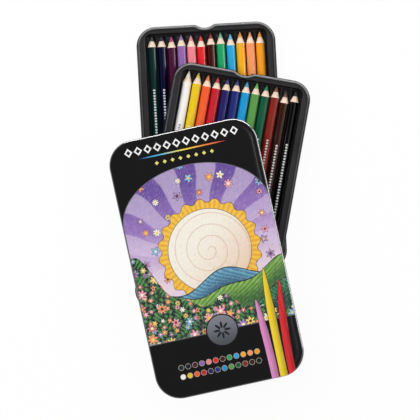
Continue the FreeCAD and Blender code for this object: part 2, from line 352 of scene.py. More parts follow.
# Waxy colored lead with fine turning marks and a few pale scuffs
def leadMaterial(colour):
    tint = leadColours[colour]
    material, start, shader = newMaterial(colour + "Lead", Specular_IOR_Level=0.4)
    around, along, _ = start.add("TexCoord", take=2).parts()
    scuff = objectMillimetres(start).noise(2.6, 3.0)
    feed(shader, Base_Color=scuff.ease(0.35, 0.75).blend(seen(*tint), paler(tint, 0.22)))
    feed(shader, Roughness=0.4 + 0.25 * scuff)
    feed(shader, Normal=bump(start, scuff + 0.4 * (along * 14.0 + around).sin(), 0.03, 0.5))
    return material


# A surface of revolution: radius and distance behind the tip, carried round the pencil's axis from its
# underside. Points are across, along and up, the map is millimetres from the top line and behind the tip.
def turned(profile, closedProfile):
    profile = np.array(profile, dtype=float)
    if closedProfile:
        profile = np.vstack([profile, profile[:1]])
    angle = np.linspace(-np.pi, np.pi, pencil["sides"] + 1)
    radius = profile[:, :1]
    points = np.stack([
        radius * np.sin(angle),
        -profile[:, 1:] + 0 * angle,
        radius * np.cos(angle),
    ], axis=-1)
    faces = gridQuads(len(profile), len(angle), False)[:, ::-1]
    chart = np.stack([pencil["radius"] * angle + 0 * radius, profile[:, 1:] + 0 * angle], axis=-1)
    return points.reshape(-1, 3), faces, chart.reshape(-1, 2)[faces].reshape(-1, 2)


def arcSteps(start, end, steps):
    return np.linspace(math.radians(start), math.radians(end), steps)


# The casing's section: rounded tail edge, barrel, cut edge of the lacquer, cone down to the lead, and bore
def casingSection():
    radius, tail, bend = pencil["radius"], pencil["length"], pencil["tailRound"]
    slope = radius / pencil["point"]
    apex = pencil["tipRadius"] * (math.hypot(1, 1 / slope) - 1)
    coneStart = pencil["point"] - apex
    bore = pencil["leadRadius"] + pencil["boreRoom"]
    turn = arcSteps(0, 90, 6)
    rounded = [(radius - bend * (1 - math.sin(a)), tail - bend * (1 - math.cos(a))) for a in turn]
    rings = np.linspace(tail - pencil["tailBand"], coneStart + pencil["lacquerEdge"], 9)
    barrel = [(radius, behind) for behind in rings]
    lip = [(radius - pencil["lipDrop"], coneStart + pencil["lipBehind"]),
           (radius - pencil["lacquer"], coneStart)]
    narrowing = np.linspace(radius - pencil["coneDrop"], bore, 9)
    cone = [(r, (r + pencil["lacquer"]) / slope - apex) for r in narrowing]
    inside = [(bore, behind) for behind in np.linspace(cone[-1][1] + pencil["boreStart"], tail, 3)]
    painted = len(rounded) + len(barrel) + len(lip)
    return rounded + barrel + lip + cone + inside, painted


# The lead's section: flat tail, barrel, cone and round tip
def leadSection():
    slant = math.atan(pencil["radius"] / pencil["point"])
    tip, radius = pencil["tipRadius"], pencil["leadRadius"]
    apex = tip / math.sin(slant) - tip
    cone = [(r, r / math.tan(slant) - apex) for r in np.linspace(radius, tip * math.cos(slant), 6)]
    ball = [(tip * math.cos(a), tip - tip * math.sin(a)) for a in np.linspace(slant, math.pi / 2, 6)[1:]]
    tail = [(0.0, pencil["length"]), (radius, pencil["length"])]
    return tail + cone + ball


# Across and along the tray, then turned and moved to where the tray lies
def placed(points, turn, middle):
    across = points[:, 0] * math.cos(turn) - points[:, 1] * math.sin(turn)
    along = points[:, 0] * math.sin(turn) + points[:, 1] * math.cos(turn)
    return np.stack([across, along, points[:, 2]], axis=-1) + middle


# The tip's place along the tray, from the far side of the lead's box
def tipAlong(colour, across, turn, middle):
    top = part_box(colour + "_pencil_lead")[1].y / mm
    tip = top - pencil["tipRadius"] * (1 - math.cos(turn))
    return (tip - middle[1] - across * math.sin(turn)) / math.cos(turn)


def makePencils():
    cedar = cedarMaterial()
    section, painted = casingSection()
    casing = turned(section, True)
    lead = turned(leadSection(), False)
    woodRow = (np.arange(len(section)) >= painted - 1).astype(np.int32)
    faceMaterial = np.repeat(woodRow, pencil["sides"])
    for trayName, colours in trays.items():
        turn = turnOf(colours[0] + "_slide")
        middle = middleOf(trayName)
        for place, colour in enumerate(colours):
            across = (place - (len(colours) - 1) / 2) * pencil["pitch"]
            shift = np.array([across, tipAlong(colour, across, turn, middle), pencil["axisHeight"]])
            body = colour + "_pencil"
            wood, core = body + "_wood", body + "_lead"
            points, faces, chart = casing
            addPiece(body + "_casing", placed(points + shift, turn, middle), faces.tolist(), body,
                     [wood], [lacquerMaterial(colour), cedar], faceMaterial, chart)
            points, faces, chart = lead
            addPiece(body + "_core", placed(points + shift, turn, middle), faces.tolist(), body,
                     [core], [leadMaterial(colour)], None, chart)


makePencils()
print("pencils:", sum(len(colours) for colours in trays.values()))


# Loops that match point for point: a rounded rectangle, counter-clockwise from the foot of its right side.
# Points on a straight stretch lie at shares of it, points on a corner at fixed turns, and the second half is
# the first turned half round.
def roundLoop(halfX, halfY, radius, shares):
    cornerX, cornerY = halfX - radius, halfY - radius
    side, head = shares["side"] * cornerY, shares["head"] * cornerX
    arcX = cornerX + radius * np.cos(shares["turn"])
    arcY = cornerY + radius * np.sin(shares["turn"])
    right = np.stack([np.full_like(side, halfX), side], axis=-1)
    corner = np.stack([arcX, arcY], axis=-1)
    far = np.stack([head[::-1], np.full_like(head, halfY)], axis=-1)
    half = np.concatenate([right, corner, far, corner[::-1] * (-1, 1)])
    return np.concatenate([half, -half])


def atHeight(loop, height):
    return np.column_stack([loop, np.full(len(loop), height)])


# Trays, each one formed sheet: skirt, rounded ridge, ledge, well with rounded mouth and foot, bed of grooves
tray = {
    "halfX": 56.65,
    "halfY": 101.2,
    "radius": 15.8,
    "height": 11.4,
    "draft": 1.2,
    "skirtLevels": (0.05, 3.0, 6.0, 9.0),
    "matteBands": 4,  # of the ridge, on the long sides
    "ridge": 1.7,
    "ridgeRound": 0.8,
    "ledge": 10.5,
    "mouthRound": 0.5,
    "wellHalfX": 48.95,
    "wellHalfY": 94.4,
    "wellRadius": 4.5,
    "wellDraft": 0.5,
    "wellLevels": (8.0, 6.0, 4.0),
    "bed": 2.4,
    "bedOverlap": 0.03,
    "footRound": 0.5,
    "grooves": 12,
    "grooveRadius": 3.75,
    "grooveEase": 0.6,
    "grooveEnd": 92.9,
    "grooveFade": 0.2,
    "grooveLines": np.array([-3.55, -3.25, -2.9, -2.2, -1.2, 0.0, 1.2, 2.2, 2.9, 3.25, 3.55, 4.0]),
    "lineGap": 0.2,
    "cornerTurns": np.radians([4, 9, 16, 24, 34, 43.9, 48.2, 56, 64, 72, 79, 85]),
    "notchDepth": 2.8,
    "notchShoulder": 7.0,
    "notchHollow": 11.0,
    "headHighlight": 6.0,  # from the end, where the painted highlight is full
    "sheet": 0.42,
}


# Satin black sheet with a fine pebble, and a painted highlight: the top of the ridge is painted paler, most of
# all at the tray's two ends
def trayMaterial(name, turn):
    material, start, shader = newMaterial(name + "Plastic", Specular_IOR_Level=0.4)
    spot = objectMillimetres(start)
    cloud = spot.noise(0.06, 3.0)
    pebble = spot.noise(2.2, 2.0)
    middle = middleOf(name)
    x, y, z = spot.parts()
    level = z - middle[2]
    along = (y - middle[1]) * math.cos(turn) - (x - middle[0]) * math.sin(turn)
    headHighlight = abs(along).ease(tray["halfY"] - tray["radius"], tray["halfY"] - tray["headHighlight"])
    crest = level.ease(tray["height"] - 0.1 - 0.25 * headHighlight, tray["height"] - 0.02)
    ridgeHighlight = crest * (0.75 + 0.25 * spot.noise(0.35, 3.0))
    sheet = cloud.ease(0.3, 0.7).blend(seen(25, 25, 27), seen(31, 31, 33))
    # painted highlight: the ridge's top is painted pale grey, palest at the two ends of the tray
    wearAndHighlight = headHighlight.blend(seen(84, 84, 86), seen(150, 150, 152))
    feed(shader, Base_Color=(ridgeHighlight * 0.8).blend(sheet, wearAndHighlight))
    feed(shader, Roughness=0.4 + 0.08 * cloud - 0.08 * ridgeHighlight)
    feed(shader, Normal=bump(start, pebble, 0.02, 0.3))
    return material


# The skirt's outside, which the mould leaves matte, on the long sides up to the ridge's shoulder
def skirtMaterial():
    material, start, shader = newMaterial("traySkirt", Specular_IOR_Level=0.08)
    spot = objectMillimetres(start)
    cloud = spot.noise(0.06, 3.0)
    feed(shader, Base_Color=cloud.ease(0.3, 0.7).blend(seen(22, 22, 24), seen(28, 28, 30)))
    feed(shader, Roughness=0.6 + 0.1 * cloud)
    feed(shader, Normal=bump(start, spot.noise(2.2, 2.0), 0.02, 0.3))
    return material


# Stations: lines either side of each groove and on its edges across the tray, a few along it, and corner turns
def trayShares():
    cornerX = tray["wellHalfX"] - tray["wellRadius"]
    centres = (np.arange(tray["grooves"]) - (tray["grooves"] - 1) / 2) * pencil["pitch"]
    lines = (centres[:, None] + tray["grooveLines"]).ravel()
    lines = np.concatenate([[-cornerX], lines[abs(lines) < cornerX - tray["lineGap"]], [cornerX]])
    return {"side": np.linspace(-1, 1, 9), "head": lines / cornerX, "turn": tray["cornerTurns"]}


# The tray's outline drawn in by inset: a rounded rectangle whose short sides dip in a finger notch, a hollow
# arc between two shoulder arcs that touch it
def trayLoop(inset, shares):
    loop = roundLoop(tray["halfX"] - inset, tray["halfY"] - inset, tray["radius"] - inset, shares)
    shoulder, hollow = tray["notchShoulder"] - inset, tray["notchHollow"] + inset
    both, depth = shoulder + hollow, tray["notchDepth"]
    shoulderX = math.sqrt(2 * depth * both - depth ** 2)
    shoulderY = tray["halfY"] - tray["notchShoulder"]
    hollowY = tray["halfY"] - depth + tray["notchHollow"]
    across = abs(loop[:, 0])
    dip = hollowY - np.sqrt(np.maximum(hollow ** 2 - across ** 2, 0))
    swell = shoulderY + np.sqrt(np.maximum(shoulder ** 2 - (across - shoulderX) ** 2, 0))
    edge = np.where(across < hollow * shoulderX / both, dip, swell)
    onHead = (across < shoulderX) & (abs(loop[:, 1]) > tray["halfY"] - tray["radius"])
    loop[:, 1] = np.where(onHead, np.sign(loop[:, 1]) * edge, loop[:, 1])
    return loop


def wellLoop(grow, shares):
    return roundLoop(tray["wellHalfX"] + grow, tray["wellHalfY"] + grow, tray["wellRadius"] + grow, shares)


# The bed's height: flat, with a round groove under each pencil, its edges eased and its ends faded in
def bedHeight(x, y):
    pitch, bed, ease = pencil["pitch"], tray["bed"], tray["grooveEase"]
    aside = np.where(abs(x) < tray["grooves"] / 2 * pitch, x % pitch - pitch / 2, pitch)
    groove = pencil["axisHeight"] - np.sqrt(np.maximum(tray["grooveRadius"] ** 2 - aside ** 2, 0))
    share = np.clip(0.5 + (bed - groove) / ease, 0, 1)
    eased = bed * (1 - share) + groove * share - ease / 2 * share * (1 - share)
    end = np.clip((tray["grooveEnd"] - abs(y)) / tray["grooveFade"], 0, 1)
    return bed + end * (eased - bed)


# The bed as a grid on the stations of its own edge: whole cells give quads, cells cut by a corner triangles
def bedGrid(grow, shares):
    edge = wellLoop(grow, shares)
    xs, ys = np.unique(edge[:, 0].round(6)), np.unique(edge[:, 1].round(6))
    x, y = np.meshgrid(xs, ys, indexing="ij")
    radius = tray["wellRadius"] + grow
    pastX = np.maximum(abs(x) - (tray["wellHalfX"] - tray["wellRadius"]), 0)
    pastY = np.maximum(abs(y) - (tray["wellHalfY"] - tray["wellRadius"]), 0)
    inside = np.hypot(pastX, pastY) < radius + 1e-4
    points = np.stack([x, y, bedHeight(x, y)], axis=-1).reshape(-1, 3)
    index = np.arange(x.size).reshape(x.shape)
    corners = np.stack([index[:-1, :-1], index[1:, :-1], index[1:, 1:], index[:-1, 1:]], axis=-1)
    corners = corners.reshape(-1, 4)
    kept = inside.ravel()[corners]
    faces = corners[kept.all(axis=1)].tolist()
    for missing in range(4):
        cut = ~kept[:, missing] & (kept.sum(axis=1) == 3)
        faces += np.delete(corners[cut], missing, axis=1).tolist()
    used = np.unique(np.concatenate([np.array(face) for face in faces]))
    fresh = np.zeros(x.size, dtype=int)
    fresh[used] = np.arange(len(used))
    return points[used], [fresh[face].tolist() for face in faces]


# The whole upper skin, row by row from the skirt's foot to the bed's edge, then the bed, and which faces are
# matte
def traySkin():
    shares = trayShares()
    draft, height, bend = tray["draft"], tray["height"], tray["ridgeRound"]
    outer, inner = draft * (1 - bend / height) + bend, draft + tray["ridge"] - bend
    turn = arcSteps(180, 90, 7)
    skirt = [(draft * z / height, z) for z in tray["skirtLevels"]]
    ridge = [(outer + bend * math.cos(a), height - bend + bend * math.sin(a)) for a in turn]
    ridge += [(inner - bend * math.cos(a), height - bend + bend * math.sin(a)) for a in turn[::-1]]
    foot = [(draft + tray["ridge"], tray["ledge"])]
    rows = [atHeight(trayLoop(inset, shares), z) for inset, z in skirt + ridge + foot]
    mouth, ledge, lean = tray["mouthRound"], tray["ledge"], tray["wellDraft"]
    bed, hollow, overlap = tray["bed"], tray["footRound"], tray["bedOverlap"]
    turn = arcSteps(0, 90, 6)
    well = [(lean + mouth * (1 - math.sin(a)), ledge - mouth + mouth * math.cos(a)) for a in turn]
    well += [(lean * (z - bed) / (ledge - bed), z) for z in tray["wellLevels"]]
    well += [(hollow * math.cos(a) - hollow + overlap, bed + hollow - hollow * math.sin(a)) for a in turn]
    rows += [atHeight(wellLoop(grow, shares), z) for grow, z in well]
    faces = gridQuads(len(rows), len(rows[0]), True).tolist()
    bedPoints, bedFaces = bedGrid(well[-1][0], shares)
    walls = np.concatenate(rows)
    faces += [[corner + len(walls) for corner in face] for face in bedFaces]
    band, column = np.divmod(np.arange(len(faces)), len(rows[0]))
    beside = abs(walls[column, 1]) < tray["halfY"] - tray["radius"]
    matte = band < len(skirt) + tray["matteBands"] * beside
    return np.concatenate([walls, bedPoints]), faces, matte


# Sheet thickness inwards, and shading that follows the larger faces, so that cut edges don't tilt it
def thicken(piece, thickness, insideSlot=0):
    wall = piece.modifiers.new("sheet", "SOLIDIFY")
    wall.thickness = thickness * mm
    wall.offset = -1.0
    wall.material_offset = insideSlot
    piece.modifiers.new("evenShading", "WEIGHTED_NORMAL")


def makeTrays():
    points, faces, matte = traySkin()
    skirt = skirtMaterial()
    for name, colours in trays.items():
        turn = turnOf(colours[0] + "_slide")
        lying = placed(points, turn, middleOf(name))
        finishes = [trayMaterial(name, turn), skirt]
        shell = addPiece(name + "_shell", lying, faces, name, [name], finishes, matte)
        thicken(shell, tray["sheet"])


makeTrays()
print("trays:", len(trays))


# Tin
# The lid's print, in millimetres from the lid's middle: an arched picture on black, with ornaments above and
# below. A ridge's waves have height, pace and shift, its rises height, side (1 right, -1 left), start and end.
artwork = {
    "half": 58.9,
    "foot": -58.0,
    "spring": 36.0,
    "rise": 40.0,
    "border": 0.7,
    "ink": 0.4,
    "sky": [(240, 216, 224), (198, 170, 214), (146, 112, 186), (104, 74, 158)],
    "skyReach": (-30.0, 76.0),
    "rays": {"count": 13.0, "pace": 0.12, "swirl": 0.5, "soft": 0.15, "share": 0.45},
    "moon": {"middle": (4.0, 6.0), "radius": 33.0, "curl": 0.11, "curlHalf": 0.05, "curlShare": 0.4},
    "halo": {"thick": 6.5, "scallops": 20.0, "depth": 1.7, "hatch": 60.0, "ink": 0.45},
    "hills": [
        {"level": -17.0, "waves": [(6.0, 0.09, 0.6), (3.0, 0.031, 0.0)], "rises": [],
         "light": (108, 176, 196), "dark": (72, 128, 170), "slope": 0.5},
        {"level": -27.0, "waves": [(3.0, 0.13, 0.0)], "rises": [(15.0, 1, 8.0, 58.0)],
         "light": (150, 190, 74), "dark": (78, 146, 66), "slope": -0.7},
        {"level": -41.0, "waves": [(4.0, 0.1, 2.0)], "rises": [(9.0, 1, 20.0, 60.0)],
         "light": (52, 140, 84), "dark": (26, 96, 66), "slope": 0.9},
    ],
    "bed": {"level": -34.0, "waves": [(4.0, 0.21, 0.0)],
            "rises": [(46.0, -1, 18.0, 62.0), (-14.0, 1, 5.0, 40.0)]},
    "skyFlowers": {"cell": 12.5, "reach": 0.3, "shift": 40.0, "share": 0.55, "above": -20.0},
    "bedFlowers": [
        {"cell": 6.0, "reach": 0.42, "shift": 11.0, "share": 0.8, "over": 1.0},
        {"cell": 12.0, "reach": 0.42, "shift": 3.0, "share": 0.75, "over": -1.5},
    ],
    "lozenges": {"y": 95.0, "half": 46.8, "pitch": 7.8, "wide": 3.3, "tall": 3.6, "hole": 0.55},
    "rainbow": {"y": 88.6, "half": 37.0, "thick": 0.55, "taper": 0.35},
    "beads": {"y": 82.6, "half": 25.6, "pitch": 6.4, "size": 1.6},
    "badge": {"y": -58.0, "radius": 13.0, "rim": 1.0, "petals": 8.0, "reach": 4.6, "swing": 2.4, "heart": 2.0},
    "swatches": {"rows": (-80.5, -88.0), "left": -41.0, "pitch": 5.6, "radius": 1.95, "rim": 0.35},
    "bladeFoot": -104.0,
    "bladeInk": 0.12,
    "blades": [
        {"foot": 33.5, "tip": -40.0, "lean": -0.0006, "half": 2.9, "taper": 26.0, "colour": (226, 140, 196)},
        {"foot": 40.5, "tip": -17.0, "lean": 0.0002, "half": 3.0, "taper": 34.0, "colour": (246, 214, 40)},
        {"foot": 47.5, "tip": -29.0, "lean": 0.0009, "half": 2.9, "taper": 30.0, "colour": (222, 38, 44)},
    ],
}
inkTint = seen(34, 26, 40)
petalTints = [(222, 44, 46), (243, 128, 44), (250, 208, 60), (72, 168, 222), (240, 128, 158), (246, 240, 232),
              (142, 84, 178)]
heartTints = [(250, 206, 60), (92, 40, 30), (250, 240, 214)]
spectrumTints = [(40, 110, 190), (70, 180, 220), (250, 226, 60), (240, 130, 50), (214, 40, 60)]


def paintRamp(value, tints, steps="CONSTANT"):
    spread = len(tints) if steps == "CONSTANT" else len(tints) - 1
    stops = [(place / spread, seen(*tint)) for place, tint in enumerate(tints)]
    ramp = value.add("ValToRGB", {"stops": stops}, {0: value})
    ramp.out.node.color_ramp.interpolation = steps
    return ramp


# Distance and angle from a place
def awayFrom(x, y, place):
    across, up = x - place[0], y - place[1]
    return (across * across + up * up).root(), up.math("ARCTAN2", up, across)


# Flowers in the cells of a Voronoi pattern: distance from the cell's point against a size that swings with the
# angle. A share of the cells has one.
def flowersOver(under, where, x, y, flowers):
    cell, shifted = flowers["cell"], x + flowers["shift"]
    links = {"Vector": shifted.pairedWith(y), "Scale": 1 / cell, "Randomness": 0.85}
    outs = x.add("TexVoronoi", {"voronoi_dimensions": "2D"}, links).out.node.outputs
    first, second, third = Socket(x.tree, outs["Color"]).parts()
    heartX, heartY, _ = Socket(x.tree, outs["Position"]).parts()
    away, angle = awayFrom(shifted, y, (heartX, heartY))
    petals = (first * 3.99).floor() + 5.0
    lobe = 0.74 + 0.26 * (petals * angle + second * 6.28).cos()
    size = cell * flowers["reach"] * (0.65 + 0.35 * third)
    shown = where * (second < flowers["share"])
    tint = paintRamp((third * 7.3 + first * 3.1).fract(), petalTints)
    tint = ((away / size) * 0.35).blend(tint, seen(255, 246, 226))
    colour = (shown * (away < size * lobe + cell * 0.035)).blend(under, inkTint)
    colour = (shown * (away < size * lobe)).blend(colour, tint)
    heart = paintRamp((first * 5.7).fract(), heartTints)
    return (shown * (away < size * 0.3)).blend(colour, heart)


def ridgeLine(x, ridge):
    line = ridge["level"]
    for height, pace, shift in ridge["waves"]:
        line = line + height * (x * pace + shift).sin()
    for height, side, low, high in ridge["rises"]:
        line = line + height * (x * side).ease(low, high)
    return line


# A hill: everything below its ridge line, hatched along the slope, with an inked edge
def hillOver(under, x, y, hill):
    depth = ridgeLine(x, hill) - y
    hatch = ((y + x * hill["slope"]) * 1.9 + (depth * 0.35).sin() * 1.4).sin()
    ground = hatch.ease(-0.9, 0.9).blend(seen(*hill["light"]), seen(*hill["dark"]))
    ground = depth.ease(0.0, 16.0).blend(ground, darker(hill["dark"], 0.72))
    colour = (depth > 0.0).blend(under, ground)
    return (abs(depth) < artwork["ink"]).blend(colour, inkTint)


# A great pale moon with a spiral, in a scalloped halo
def moonOver(under, x, y, away, angle):
    moon, halo = artwork["moon"], artwork["halo"]
    edge = moon["radius"] + halo["thick"] + halo["depth"] * (angle * halo["scallops"]).cos()
    gold = ((angle * halo["hatch"]).cos() * 0.5 + 0.5).blend(seen(248, 206, 58), seen(240, 166, 44))
    colour = (away < edge + halo["ink"]).blend(under, inkTint)
    colour = (away < edge).blend(colour, gold)
    colour = (away < moon["radius"] + artwork["ink"]).blend(colour, inkTint)
    shade = ((x - y) * 0.7 / moon["radius"]).ease(-0.5, 1.3)
    disc = shade.blend(seen(250, 244, 230), seen(240, 206, 178))
    curl = abs((away * moon["curl"] + angle / 6.2832).fract() - 0.5) < moon["curlHalf"]
    disc = (curl * moon["curlShare"]).blend(disc, seen(214, 150, 118))
    return (away < moon["radius"]).blend(colour, disc)


# The picture: the moon before a sky of rays, over hatched hills, and a bed of flowers that climbs at the left,
# all under pale and dark pencil strokes
def pictureColour(x, y):
    rays, skyFlowers = artwork["rays"], artwork["skyFlowers"]
    sky = paintRamp(y.ease(*artwork["skyReach"]), artwork["sky"], "EASE")
    away, angle = awayFrom(x, y, artwork["moon"]["middle"])
    beam = (angle * rays["count"] + (away * rays["pace"]).sin() * rays["swirl"]).cos()
    colour = (beam.ease(-rays["soft"], rays["soft"]) * rays["share"]).blend(sky, seen(226, 208, 234))
    colour = flowersOver(colour, y > skyFlowers["above"], x, y, skyFlowers)
    colour = moonOver(colour, x, y, away, angle)
    for hill in artwork["hills"]:
        colour = hillOver(colour, x, y, hill)
    bed = ridgeLine(x, artwork["bed"])
    leafAcross = (x * 1.1 + (y * 0.5).sin() * 2.0).sin()
    leafAlong = (y * 0.9 + (x * 0.4).sin() * 2.0).sin()
    leaves = (leafAcross * leafAlong).ease(-0.2, 0.5).blend(seen(26, 40, 42), seen(70, 138, 66))
    colour = (y < bed).blend(colour, leaves)
    for flowers in artwork["bedFlowers"]:
        colour = flowersOver(colour, y < bed + flowers["over"], x, y, flowers)
    strokes = ((x + y) * 0.16).pairedWith((x - y) * 1.5).noise(1.0, 3.0, 0.6)
    colour = (strokes.ease(0.5, 0.75) * 0.3).blend(colour, seen(255, 252, 244))
    return (strokes.ease(0.5, 0.28) * 0.25).blend(colour, seen(60, 44, 70))


# Brush strokes that lean a little and taper to a point
def bladesOver(colour, x, y):
    bristle = (x * 2.2).pairedWith(y * 0.05).noise(1.0)
    rise = y - artwork["bladeFoot"]
    for blade in artwork["blades"]:
        tint = blade["colour"]
        side = (x - blade["foot"] - rise * rise * blade["lean"]) / blade["half"]
        width = ((blade["tip"] - y) / blade["taper"]).atLeast(0.0).atMost(1.0).root()
        paint = (side * 0.5 + 0.5).ease(0.2, 1.1).blend(seen(*tint), darker(tint, 0.74))
        paint = (bristle.ease(0.5, 0.8) * 0.6).blend(paint, paler(tint, 0.45))
        inked = (y < blade["tip"] + artwork["ink"]) * (abs(side) < width + artwork["bladeInk"])
        colour = inked.blend(colour, inkTint)
        colour = (abs(side) < width).blend(colour, paint)
    return colour


# A round plate with a rosette
def badgeOver(colour, x, y):
    badge = artwork["badge"]
    radius = badge["radius"]
    away, angle = awayFrom(x, y, (0.0, badge["y"]))
    plate = y.ease(badge["y"] - radius, badge["y"] + radius).blend(seen(78, 80, 90), seen(128, 130, 140))
    colour = (away < radius).blend(colour, seen(22, 22, 26))
    colour = (away < radius - badge["rim"]).blend(colour, plate)
    rosette = away < badge["reach"] + badge["swing"] * (angle * badge["petals"]).cos()
    return (rosette * (away > badge["heart"])).blend(colour, seen(30, 30, 36))


# A dot for each pencil, in a row for each tray
def swatchesOver(colour, x, y):
    swatches = artwork["swatches"]
    column = (x - swatches["left"]) / swatches["pitch"]
    dot = (column.fract() - 0.5) * swatches["pitch"]
    for row, colours in zip(swatches["rows"], trays.values()):
        within = (column > 0.0) * (column < len(colours))
        away = (dot * dot + (y - row) * (y - row)).root()
        tint = paintRamp(column / len(colours), [lacquerColours[name] for name in colours])
        rimmed = within * (away < swatches["radius"] + swatches["rim"])
        colour = rimmed.blend(colour, seen(170, 166, 150))
        colour = (within * (away < swatches["radius"])).blend(colour, tint)
    return colour


# How far x is from the middle of the nearest mark in a row
def nearestMark(x, pitch):
    return abs((x / pitch).fract() - 0.5) * pitch


# A row of open lozenges, a spectrum line and a row of beads
def headOver(colour, x, y):
    lozenges, rainbow, beads = artwork["lozenges"], artwork["rainbow"], artwork["beads"]
    spread = nearestMark(x, lozenges["pitch"]) / lozenges["wide"] + abs(y - lozenges["y"]) / lozenges["tall"]
    row = (spread < 1.0) * (spread > lozenges["hole"]) * (abs(x) < lozenges["half"])
    colour = row.blend(colour, seen(246, 246, 244))
    spectrum = paintRamp(x / (2 * rainbow["half"]) + 0.5, spectrumTints, "LINEAR")
    thick = rainbow["thick"] * (1.0 - abs(x) / rainbow["half"]).ease(0.0, rainbow["taper"])
    colour = (abs(y - rainbow["y"]) < thick).blend(colour, spectrum)
    bead = nearestMark(x, beads["pitch"]) + abs(y - beads["y"]) < beads["size"]
    return (bead * (abs(x) < beads["half"])).blend(colour, seen(236, 224, 120))


def printOver(ground, x, y):
    above = (y - artwork["spring"]).atLeast(0.0) / artwork["rise"]
    beside = x / artwork["half"]
    arch = (beside * beside + above * above).root()
    border = artwork["border"]
    framed = (arch < 1.0 + border / artwork["half"]) * (y > artwork["foot"] - border)
    colour = framed.blend(ground, seen(96, 94, 104))
    colour = ((arch < 1.0) * (y > artwork["foot"])).blend(colour, pictureColour(x, y))
    for ornament in (bladesOver, badgeOver, swatchesOver, headOver):
        colour = ornament(colour, x, y)
    return colour


# The tin's shape: lengths in millimetres, levels above the underside of the base's foot, bends as degrees and
# radius
tin = {
    "lidHalfX": 60.2,
    "lidHalfY": 104.75,
    "lidRadius": 20.2,
    "lidLedge": 25.4,
    "lidSkirt": 9.5,
    "shoulder": 1.6,
    "panelMargin": 2.6,
    "panelRise": 0.4,
    "panelStep": 5.383,
    "panelBends": [(-8.5, 23.67), (8.5, 12.75)],
    "lidSheet": 0.3,
    "lidRings": (0, 0.3, 0.6, 0.85),
    "hem": 0.75,
    "baseInset": 1.95,
    "baseSheet": 0.25,
    "baseRings": (0, 0.4, 0.75),
    "floorRise": 0.8,
    "floorStep": 0.98,
    "floorBends": [(-78.46, 0.35), (78.46, 0.65)],
    "footRun": 4.0,
    "footRound": 1.5,
    "rim": 24.4,
    "rimCurl": 0.5,
    "hingeX": 59.45,
    "hingeZ": 16.65,
    "lugY": 45.0,
    "lugHalf": 6.0,
    "lugRoot": 0.28,
    "lugRoll": 0.73,
    "windowHalf": 6.3,
    "windowTop": 17.78,
    "openingReach": 4,
    "slot": (16.17, 18.77),
    "printDepth": 1.0,
}
bendStep = 11  # degrees


# A bent sheet's outer skin in the XZ plane, as straight runs and round bends: a bend of n degrees turns left
# about a centre one radius to the side, and a run goes straight on
def bentSkin(x, z, heading, moves):
    skin, heading = [(x, z)], math.radians(heading)
    for move in moves:
        x, z = skin[-1]
        if len(move) == 1:
            skin.append((x + move[0] * math.cos(heading), z + move[0] * math.sin(heading)))
            continue
        turn, reach = math.radians(move[0]), math.copysign(move[1], move[0])
        angle = heading + np.linspace(0, turn, max(4, round(abs(move[0]) / bendStep)))[1:]
        bendX = x + reach * (np.sin(angle) - math.sin(heading))
        bendZ = z - reach * (np.cos(angle) - math.cos(heading))
        skin += zip(bendX, bendZ)
        heading += turn
    return np.array(skin)


# Stations along the long sides meet the edges of the hinge's lugs and windows
def tinShares():
    straight = tin["lidHalfY"] - tin["lidRadius"]
    edges = [tin["lugY"] + side * half for half in (tin["lugHalf"], tin["windowHalf"]) for side in (-1, 1)]
    marks = [0.0, 15.0, 30.0, 68.0, tin["lugY"], straight] + edges
    side = np.unique(np.concatenate([marks, np.negative(marks)])) / straight
    return {"side": side, "head": np.linspace(-1, 1, 9), "turn": np.radians(np.linspace(4, 86, 15))}


# The skin carried round the tin: each skin point gives one loop, and the flat inside the first loop is filled
# by rings that shrink onto the middle line
def carriedRound(skin, halfX, halfY, radius, shares, spread):
    inset = halfX - skin[:, 0]
    loops = [roundLoop(halfX - i, halfY - i, radius - i, shares) for i in inset]
    reach = halfY - halfX
    core = np.column_stack([np.zeros(len(loops[0])), np.clip(loops[0][:, 1], -reach, reach)])
    rings = [core + share * (loops[0] - core) for share in spread]
    levels = np.concatenate([np.full(len(rings), skin[0, 1]), skin[:, 1]])
    points = np.concatenate([atHeight(loop, level) for loop, level in zip(rings + loops, levels)])
    return points, gridQuads(len(levels), len(loops[0]), True)


# Faces whose middles lie in an opening of the hinge side are left out
def withoutOpenings(points, faces, half, low, high):
    middle = points[faces].mean(axis=1)
    beside = abs(abs(middle[:, 1]) - tin["lugY"]) < half
    hingeSide = middle[:, 0] < -tin["lidHalfX"] + tin["openingReach"]
    return faces[~(hingeSide & beside & (middle[:, 2] > low) & (middle[:, 2] < high))]


# The cover: flat panel, gentle step down to the ledge, round shoulder, skirt and curled hem
def lidShape(shares):
    halfX, ledge, shoulder = tin["lidHalfX"], tin["lidLedge"], tin["shoulder"]
    panel = halfX - tin["panelMargin"] - tin["panelStep"]
    skirtRun = tin["lidSkirt"] - shoulder - tin["hem"]
    upper = ledge - shoulder - tin["windowTop"]
    wall = [(-90, shoulder), (upper,), (skirtRun - upper,), (-270, tin["hem"])]
    skin = bentSkin(panel, ledge + tin["panelRise"], 0,
                    tin["panelBends"] + [(tin["panelMargin"] - shoulder,)] + wall)
    points, faces = carriedRound(skin, halfX, tin["lidHalfY"], tin["lidRadius"], shares, tin["lidRings"])
    return points, withoutOpenings(points, faces[:, ::-1], tin["windowHalf"], 0.0, tin["windowTop"])


